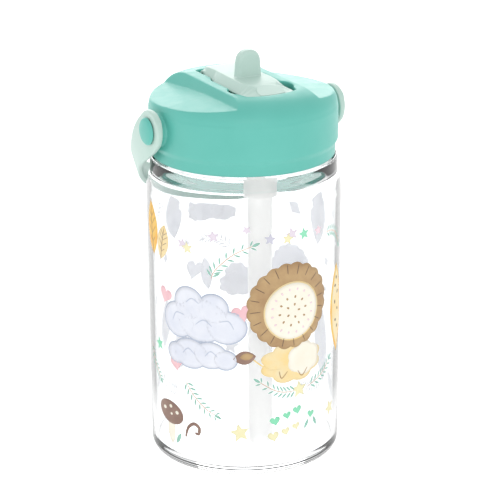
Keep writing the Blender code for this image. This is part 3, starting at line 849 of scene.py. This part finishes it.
def lid_outline():
    outer = [(BAND_R, LID_FOOT), (BAND_R, BAND_TOP), (LID_R, BAND_TOP + BAND_SLOPE)]
    outer.append((LID_R, SKIRT_TOP - PARTING_DROP))
    roll_r, roll_rise = LID_R - PARTING_STEP, BRIDGE_TOP - SKIRT_TOP
    for degrees in range(3, 91, 3):
        a = math.radians(degrees)
        outer.append((roll_r - ROLL_REACH * (1 - math.cos(a)), SKIRT_TOP + roll_rise * math.sin(a)))
    hollow = [(0, CAVITY_TOP), (CAVITY_R - CAVITY_BEVEL, CAVITY_TOP), (CAVITY_R, CAVITY_TOP - CAVITY_BEVEL)]
    hollow.append((CAVITY_R, LID_FOOT))
    return [(0, BRIDGE_TOP)] + outer[::-1] + hollow[::-1]


def make_lid():
    lid = mesh_piece("lid", turned(lid_outline(), 256), [MINT])
    for side in (-1, 1):
        combine(lid, shelf_space(side), "DIFFERENCE")
    combine(lid, bridge_rear_space(), "DIFFERENCE")
    combine(lid, slab(pocket_plan(), POCKET_FLOOR, BRIDGE_TOP + 4), "DIFFERENCE")
    x, y = LINE
    combine(lid, bar((x, y, 130), (x, y, 145), SPOUT_R + SPOUT_CLEARANCE), "DIFFERENCE")
    combine(lid, along_pin(12, PIN_BORE), "DIFFERENCE")
    for side in (-1, 1):
        combine(lid, along_pivot(side, 34, BOSS_FACE, BOSS_R), "UNION")
        combine(lid, along_pivot(side, 31, 39, SHANK_BORE), "DIFFERENCE")
    soften(lid, voxel=0.34, passes=4)
    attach(lid, "lid")
    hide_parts("lid_shell")


# ---------------------------------------------------------------- flip cover

def cover_sections():
    """Sections from rear to front, each with its half width low down, at the top, and the top's height."""
    stations = (
        (19.5, 7.0, 5.2, 147.3), (18.7, 8.0, 6.0, 147.9), (16.5, 8.6, 6.2, 148.2), (9.0, 8.7, 6.4, 148.5),
        (4.0, 10.2, 6.8, 148.6), (-8.0, 10.3, 7.2, 148.6), (-13.0, 10.3, 7.0, 148.5),
        (-15.3, 10.3, 5.8, 148.3), (-17.0, 10.3, 4.2, 147.9), (-19.0, 10.3, 3.0, 147.3),
        (-25.0, 10.3, 2.4, 145.8),
    )
    for y, low_half, top_half, top in stations:
        half = [(low_half, COVER_UNDER - 0.2), (low_half, COVER_UNDER + 0.2), (top_half, top)]
        yield [(x, y, z) for x, z in half + [(-x, z) for x, z in reversed(half)]]


def tab_section(y, shrink):
    """The tab's outline: sides that lean in a little under a squarish dome."""
    half, rise, power = TAB_HALF - shrink, TAB_TOP - shrink - TAB_SHOULDER, 2 / 2.4
    quarter = [math.pi / 2 * i / 16 for i in range(17)]
    right = [(half * math.cos(a) ** power, TAB_SHOULDER + rise * math.sin(a) ** power) for a in quarter[:-1]]
    outline = [(TAB_FOOT_HALF - shrink, 147.0)] + right + [(0, TAB_SHOULDER + rise)]
    outline += [(-x, z) for x, z in right[::-1]] + [(shrink - TAB_FOOT_HALF, 147.0)]
    return [(x, y, z) for x, z in outline]


def make_cover():
    cover = mesh_piece("cover", skinned(list(cover_sections())), [PALE])
    tab = [(TAB_REAR, 1.2), (TAB_REAR - 0.25, 0.6), (TAB_REAR - 0.8, 0.15), (TAB_REAR - 1.3, 0.0),
           (TAB_FRONT + 1.3, 0.0), (TAB_FRONT + 0.8, 0.15), (TAB_FRONT + 0.25, 0.6), (TAB_FRONT, 1.2)]
    combine(cover, skinned([tab_section(y, shrink) for y, shrink in tab]), "UNION")
    slope = Vector((0, -1.9, 7.0)).normalized()
    seat = Vector((0, PAD_Y, PAD_Z))
    combine(cover, bar(seat - slope, seat + slope * 0.35, PAD_R), "UNION")
    combine(cover, along_pin(KNUCKLE_HALF, KNUCKLE_R), "UNION")
    combine(cover, bar((0, 0, 135), (0, 0, 170), POCKET_FRONT_R - 0.4, 160), "INTERSECT")
    recess = rectangle(HOLLOW_HALF, HOLLOW_FRONT, HOLLOW_REAR)
    combine(cover, slab(recess, 140, COVER_SKIN), "DIFFERENCE")
    combine(cover, slab(rectangle(3, 12, 24), 140, COVER_UNDER + 0.4), "DIFFERENCE")
    combine(cover, along_pin(12, PIN_BORE), "DIFFERENCE")
    soften(cover, voxel=0.2, passes=5)
    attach(cover, "cover")
    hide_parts("flip_cover")


# ---------------------------------------------------------------- drinking line

def make_drinking_line():
    low, high = STRAW_LOW.z, STRAW_HIGH.z
    outline = [(STRAW_R, low + 0.3), (STRAW_R, high), (STRAW_BORE, high), (STRAW_BORE, low + 0.3),
               (STRAW_BORE + 0.3, low), (STRAW_R - 0.3, low)]
    straw = mesh_piece("drinking_straw", turned(outline, 64, LINE), [FROSTED])
    straw.data.set_sharp_from_angle(angle=math.radians(40))
    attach(straw, "lid")
    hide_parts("straw")
    foot, top = SOCKET_LOW.z, SOCKET_HIGH.z
    outline = [(SOCKET_R, foot + 0.4), (SOCKET_R, SOCKET_HEAD_FOOT), (SOCKET_HEAD_R, SOCKET_HEAD_FOOT),
               (SOCKET_HEAD_R, top), (SOCKET_BORE, top), (SOCKET_BORE, SOCKET_SEAT_TOP),
               (SOCKET_SEAT, SOCKET_SEAT_TOP), (SOCKET_SEAT, foot + 0.4), (SOCKET_SEAT + 0.3, foot),
               (SOCKET_R - 0.3, foot)]
    socket = mesh_piece("socket", turned(outline, 64, LINE), [FROSTED])
    socket.data.set_sharp_from_angle(angle=math.radians(40))
    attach(socket, "lid")
    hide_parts("straw_socket")
    foot, top = SPOUT_LOW.z, SPOUT_HIGH.z
    flange = foot + 2.3
    over = flange + FLANGE_THICK
    outline = [(SPOUT_BORE, foot), (SPOUT_R, foot), (SPOUT_R, flange), (FLANGE_R - 0.3, flange),
               (FLANGE_R, flange + 0.3), (FLANGE_R, over - 0.3), (FLANGE_R - 0.3, over), (SPOUT_R, over),
               (SPOUT_R, 140.6)]
    outline += blend_curve([(6.15, 141.2), (5.75, 142.6), (5.3, 143.8), (4.6, top - 0.12), (3.6, top),
                            (2.8, top - 0.15), (SPOUT_BORE, top - 0.6)], 4)
    spout = mesh_piece("mouthpiece", turned(outline, 64, LINE), [SILICONE])
    spout.data.set_sharp_from_angle(angle=math.radians(50))
    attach(spout, "lid")
    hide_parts("drinking_spout")


# ---------------------------------------------------------------- handle

def strap_path():
    middle = STRAP_FACE + STRAP_THICK / 2
    half = ((middle, 3.0), (middle, 7.5), (38.2, 13.5), (36.6, 20.5), (34.0, 28.0), (30.2, 35.7),
            (24.9, 43.3), (17.5, 50.2), (9.0, 54.6))
    mirrored = tuple((-x, along) for x, along in reversed(half))
    return blend_curve(half + ((0.0, 55.85),) + mirrored, 8)


def eye_end(side):
    middle = side * (STRAP_FACE + STRAP_THICK / 2)
    angles = [math.radians(a) for a in (89, 84, 77, 70, 62, 54, 45, 36, 27, 18, 9)]
    ends = [(middle, -EYE_R * math.sin(a), EYE_R * math.cos(a)) for a in angles]
    return ends + [(middle, 1.0, EYE_R)]


def strap_half_width(along):
    share = min(1.0, max(0.0, (along - 2.0) / 24.0))
    ease = share * share * (3 - 2 * share)
    return EYE_R + (STRAP_HALF - EYE_R) * ease


def strap_section(half):
    """A flat section with well rounded edges: (across the strap, through it)."""
    t = STRAP_THICK / 2
    edge = min(0.85, half * 0.6)
    corners = []
    for cx, cy, start in ((half - edge, t - edge, 0), (-half + edge, t - edge, 90),
                          (-half + edge, -t + edge, 180), (half - edge, -t + edge, 270)):
        corners += arc(cx, cy, edge, start, start + 90, 5)
    return corners


def make_handle():
    stations = eye_end(1) + [(x, u, strap_half_width(u)) for x, u in strap_path()] + eye_end(-1)[::-1]
    out = Vector((0, math.cos(HANG), -math.sin(HANG)))
    wide = Vector((0, math.sin(HANG), math.cos(HANG)))
    across = Vector((1, 0, 0))
    pivot = Vector((0, 0, PIVOT_Z))
    sections = []
    for i, (x, u, half) in enumerate(stations):
        before, after = stations[max(i - 1, 0)], stations[min(i + 1, len(stations) - 1)]
        along = (across * (after[0] - before[0]) + out * (after[1] - before[1])).normalized()
        normal = wide.cross(along)
        centre = pivot + across * x + out * u
        sections.append([centre + wide * w + normal * n for w, n in strap_section(half)])
    handle = mesh_piece("strap_handle", skinned(sections), [PALE])
    for side in (-1, 1):
        combine(handle, along_pivot(side, 33, 42, SHANK_BORE), "DIFFERENCE")
    handle.data.shade_smooth()
    handle.data.set_sharp_from_angle(angle=math.radians(50))
    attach(handle, "handle")
    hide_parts("carry_handle")


def make_rivet(side, word):
    under = STRAP_FACE + STRAP_THICK + 0.3
    outline = [(0, SHANK_END), (SHANK_R, SHANK_END), (SHANK_R, under), (RIVET_R - 0.3, under)]
    outline.append((RIVET_R, under + 0.3))
    outline += blend_curve([(RIVET_R, under + 0.5), (RIVET_R - 0.25, under + 0.85), (4.2, RIVET_FACE - 0.45),
                            (2.4, RIVET_FACE - 0.1)], 5)
    shape = turned(outline + [(0, RIVET_FACE)], 64)
    for vertex in shape.verts:
        x, y, z = vertex.co
        vertex.co = (side * z, y * side, PIVOT_Z - side * x)
    rivet = mesh_piece("rivet_" + word, shape, [MINT])
    rivet.data.set_sharp_from_angle(angle=math.radians(50))
    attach(rivet, "lid")
    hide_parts("handle_rivet_" + word)


def finish_cad_nodes():
    """The inner pieces keep their CAD shape and get their finish."""
    finishes = {"lid_liner": LINER, "lid_gasket": SILICONE, "vent_valve": SILICONE, "cover_seal": SILICONE,
                "cover_hinge_pin": STEEL}
    for node, material in finishes.items():
        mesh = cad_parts[node].data
        mesh.materials.clear()
        mesh.materials.append(material)
        mesh.shade_smooth()
        mesh.set_sharp_from_angle(angle=math.radians(30))


# ---------------------------------------------------------------- stage

def make_floor():
    shape = bmesh.new()
    bmesh.ops.create_circle(shape, cap_ends=True, segments=96, radius=6000)
    floor = mesh_piece("floor", shape)
    floor.location.z = -0.0003
    material, nodes, links, shader = new_material("white_floor")
    shader.inputs["Base Color"].default_value = (0.28, 0.28, 0.28, 1)
    shader.inputs["Roughness"].default_value = 0.8
    shader.inputs["Emission Color"].default_value = (1, 1, 1, 1)
    # Painted shade: a ray that went into one clear wall and out again without crossing the hollow sees a
    # dimmer floor, away from the base. This paints the dark line that runs along a clear edge, in place of
    # dim surroundings seen through it.
    ray = nodes.new("ShaderNodeLightPath")
    edge = nodes.new("ShaderNodeMath")
    edge.operation = "COMPARE"
    edge.inputs[1].default_value = 2.0
    edge.inputs[2].default_value = 0.5
    links.new(ray.outputs["Transmission Depth"], edge.inputs[0])
    reach = nodes.new("ShaderNodeVectorMath")
    reach.operation = "LENGTH"
    links.new(nodes.new("ShaderNodeTexCoord").outputs["Object"], reach.inputs[0])
    beyond = nodes.new("ShaderNodeMapRange")
    beyond.inputs["From Min"].default_value = 0.045
    beyond.inputs["From Max"].default_value = 0.09
    links.new(reach.outputs["Value"], beyond.inputs["Value"])
    # Painted shade mask: where the dark edge line is painted onto the floor's glow
    painted_edge_line = nodes.new("ShaderNodeMath")
    painted_edge_line.operation = "MULTIPLY"
    links.new(edge.outputs["Value"], painted_edge_line.inputs[0])
    links.new(beyond.outputs["Result"], painted_edge_line.inputs[1])
    # Painted shade: the floor's glow falls from 0.95 to 0.05 along the painted edge line
    painted_edge_dimming = nodes.new("ShaderNodeMapRange")
    painted_edge_dimming.inputs["To Min"].default_value = 0.95
    painted_edge_dimming.inputs["To Max"].default_value = 0.05
    links.new(painted_edge_line.outputs["Value"], painted_edge_dimming.inputs["Value"])
    links.new(painted_edge_dimming.outputs["Result"], shader.inputs["Emission Strength"])
    floor.data.materials.append(material)


def make_lights():
    """A white tent, a little dimmer overhead, with a soft lamp in front and one behind."""
    world = bpy.data.worlds.new("studio")
    world.use_nodes = True
    nodes, links = world.node_tree.nodes, world.node_tree.links
    split = nodes.new("ShaderNodeSeparateXYZ")
    links.new(nodes.new("ShaderNodeTexCoord").outputs["Generated"], split.inputs[0])
    height = nodes.new("ShaderNodeMath")
    height.operation = "ABSOLUTE"
    links.new(split.outputs["Z"], height.inputs[0])
    overhead = nodes.new("ShaderNodeMapRange")
    overhead.interpolation_type = "SMOOTHSTEP"
    for name, number in (("From Min", 0.1), ("From Max", 0.95), ("To Min", 1.02), ("To Max", 0.90)):
        overhead.inputs[name].default_value = number
    links.new(height.outputs["Value"], overhead.inputs["Value"])
    links.new(overhead.outputs["Result"], nodes["Background"].inputs["Strength"])
    nodes["Background"].inputs["Color"].default_value = (1.0, 1.0, 1.0, 1)
    bpy.context.scene.world = world
    lamps = (("key", (-0.35, -0.9, 0.55), 0.5, 0.9), ("rear", (0.36, 0.78, 0.48), 0.9, 4.6))
    lid_middle = Vector((0, 0, 130 * MM))
    for name, place, size, power in lamps:
        light = bpy.data.lights.new(name, "AREA")
        light.size = size
        light.energy = power
        lamp = bpy.data.objects.new(name, light)
        lamp.location = Vector(place)
        lamp.rotation_euler = (lid_middle - lamp.location).to_track_quat("-Z", "Y").to_euler()
        bpy.context.scene.collection.objects.link(lamp)


def make_camera():
    azimuth, elevation, roll = (math.radians(a) for a in (28.68, 18.63, -0.253))
    distance, shift_right, shift_up = 1026.3, 2.277, 3.786
    forward = Vector((math.sin(azimuth) * math.cos(elevation), math.cos(azimuth) * math.cos(elevation),
                      -math.sin(elevation)))
    level = Vector((math.cos(azimuth), -math.sin(azimuth), 0))
    upright = level.cross(forward)
    right = level * math.cos(roll) + upright * math.sin(roll)
    up = right.cross(forward)
    aim = Vector((0, 0, 75)) + right * shift_right + up * shift_up
    camera_data = bpy.data.cameras.new("camera")
    camera_data.lens = 193.2
    camera_data.sensor_width = 36.0
    camera_data.clip_end = 100.0
    camera = bpy.data.objects.new("camera", camera_data)
    turn = Matrix((right, up, -forward)).transposed().to_4x4()
    camera.matrix_world = Matrix.Translation((aim - forward * distance) * MM) @ turn
    bpy.context.scene.collection.objects.link(camera)
    bpy.context.scene.camera = camera


make_body()
make_prints()
make_lid()
make_cover()
make_drinking_line()
make_handle()
make_rivet(-1, "left")
make_rivet(1, "right")
finish_cad_nodes()
make_floor()
make_lights()
make_camera()
bpy.context.scene.view_settings.view_transform = "Standard"
